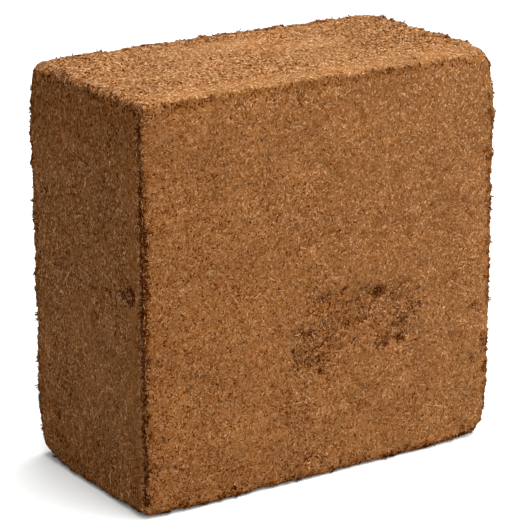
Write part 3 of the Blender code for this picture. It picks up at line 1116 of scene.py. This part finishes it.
def block_material(groups):
    """Pressed pith and chopped husk between and under the loose matter, with painted shade in its hollows and
    gaps.
    """
    material, tree, shader, where = new_material("pressed_coir", PITH_ROUGHNESS)
    chips = placed(tree, groups["chips"], where, **CHIPS)
    tone, gap = chips.outputs["Tone"], chips.outputs["Gap"]
    # Painted shade: chips in hollows and the gaps between chips are mixed towards the shaded tone.
    shadow = remapped(tree, value_of(tree, "hollow"), *HOLLOW_DARK)
    shadow = remapped(tree, maths(tree, "SUBTRACT", shadow, tone), *CHIP_DARK)
    dark = maths(tree, "MAXIMUM", maths(tree, "MULTIPLY", gap, GAP_DARK), shadow)
    colour = mixed(tree, dark, ramp(tree, tone, PRESSED_TONES), (*SHADED, 1.0))
    coloured(tree, shader, where, colour, groups)
    height = maths(tree, "SUBTRACT", tone, gap)
    relief = {"Strength": RELIEF_STRENGTH, "Distance": RELIEF_HEIGHT, "Height": height}
    feed(tree, shader.inputs["Normal"], added(tree, "Bump", relief).outputs["Normal"])
    return material


def loose_material(name, stops, roughness, groups):
    """A tone for each splinter or fibre, with painted shade where it lies in a hollow."""
    material, tree, shader, where = new_material(name, roughness)
    own = ramp(tree, value_of(tree, "tone"), stops)
    own = mixed(tree, value_of(tree, "shade"), own, (*SHADED, 1.0))
    coloured(tree, shader, where, own, groups)
    return material


# Stage, light and camera.


def seen_as(tree, seen, around, output):
    """Shows one shader to the camera, and the other to all the rest."""
    share = added(tree, "LightPath").outputs["Is Camera Ray"]
    either = added(tree, "MixShader", {0: share, 1: around.outputs[0], 2: seen.outputs[0]})
    tree.links.new(either.outputs[0], output.inputs[0])


def floor():
    """A table that is white to the eye, and a dim grey to the light on the bale."""
    mesh = bpy.data.meshes.new("floor")
    ends = [(-1, -1), (1, -1), (1, 1), (-1, 1)]
    mesh.from_pydata([(x * FLOOR_REACH, y * FLOOR_REACH, 0) for x, y in ends], [], [(0, 1, 2, 3)])
    material = bpy.data.materials.new("white_table")
    material.use_nodes = True
    tree = material.node_tree
    shader = tree.nodes["Principled BSDF"]
    shader.inputs["Roughness"].default_value = TABLE_ROUGHNESS
    shader.inputs["Specular IOR Level"].default_value = 0.0
    shader.inputs["Base Color"].default_value = (*TABLE_WHITE, 1.0)
    dim = added(tree, "BsdfDiffuse", {"Color": (*TABLE_BOUNCE, 1.0)})
    seen_as(tree, shader, dim, tree.nodes["Material Output"])
    mesh.materials.append(material)
    as_piece("floor", mesh)


def soft_sun(name, direction, strength, spread):
    """A soft white light from this direction, as wide in degrees as its spread."""
    lamp = bpy.data.lights.new(name, "SUN")
    lamp.energy = strength
    lamp.angle = math.radians(spread)
    piece = as_piece(name, lamp)
    piece.rotation_euler = Vector(direction).to_track_quat("Z", "Y").to_euler()


def surroundings(fill):
    """White to the eye, and a dim even fill to the bale."""
    world = bpy.data.worlds.new("studio")
    world.use_nodes = True
    tree = world.node_tree
    tree.nodes.clear()
    white = (1, 1, 1, 1)
    seen = added(tree, "Background", {"Strength": 1.0, "Color": white})
    around = added(tree, "Background", {"Strength": fill, "Color": white})
    seen_as(tree, seen, around, added(tree, "OutputWorld"))
    bpy.context.scene.world = world


def camera():
    """Looks at the bale from the photograph's side and height."""
    lens = bpy.data.cameras.new("camera")
    lens.sensor_width = SENSOR
    lens.lens = FOCAL_PIXELS / PHOTO_SIDE * SENSOR
    piece = as_piece("camera", lens)
    right = Vector((math.cos(CAMERA_TURN), math.sin(CAMERA_TURN), 0))
    aim = right * AIM_ACROSS + Vector((0, 0, AIM_HEIGHT))
    back = Vector((
        math.sin(CAMERA_TURN) * math.cos(CAMERA_RISE),
        -math.cos(CAMERA_TURN) * math.cos(CAMERA_RISE),
        math.sin(CAMERA_RISE),
    ))
    piece.location = aim + back * CAMERA_DISTANCE
    upright = back.to_track_quat("Z", "Y")
    piece.rotation_euler = (upright @ Quaternion((0, 0, 1), CAMERA_ROLL)).to_euler()
    bpy.context.scene.camera = piece


def main():
    rng = np.random.default_rng(SEED)
    block = coir_block()
    surface = Surface(block)
    groups = {"chips": packed_chips_group(), "mottle": mottle_group(), "bleached": top_tint_group()}
    block.data.materials.append(block_material(groups))
    loose = [
        (flakes("rust_flakes", surface, rng), ("rust_husk", RUST_TONES, PITH_ROUGHNESS)),
        (flakes("brown_flakes", surface, rng), ("brown_husk", BROWN_TONES, PITH_ROUGHNESS)),
        (flakes("golden_flakes", surface, rng), ("golden_husk", GOLDEN_TONES, PITH_ROUGHNESS)),
        (chopped_chaff(surface, rng), ("chaff_husk", BROWN_TONES, HUSK_ROUGHNESS)),
        (curved_fibres(surface, rng), ("fibre_husk", GOLDEN_TONES, FIBRE_ROUGHNESS)),
        (long_strands(surface, rng), ("strand_husk", STRAW_TONES, FIBRE_ROUGHNESS)),
        (edge_tufts(surface, rng), ("tuft_husk", RUST_TONES, HUSK_ROUGHNESS)),
        (torn_lips(surface, rng), ("lip_husk", BROWN_TONES, HUSK_ROUGHNESS)),
    ]
    for piece, finish in loose:
        piece.data.materials.append(loose_material(*finish, groups))
    for piece in (block, *(piece for piece, _ in loose)):
        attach(piece, "root")
    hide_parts("coir_bale")

    floor()
    soft_sun("key", *KEY)
    soft_sun("fill", *FILL)
    surroundings(SKY_FILL)
    camera()
    bpy.context.scene.view_settings.view_transform = "Standard"


main()
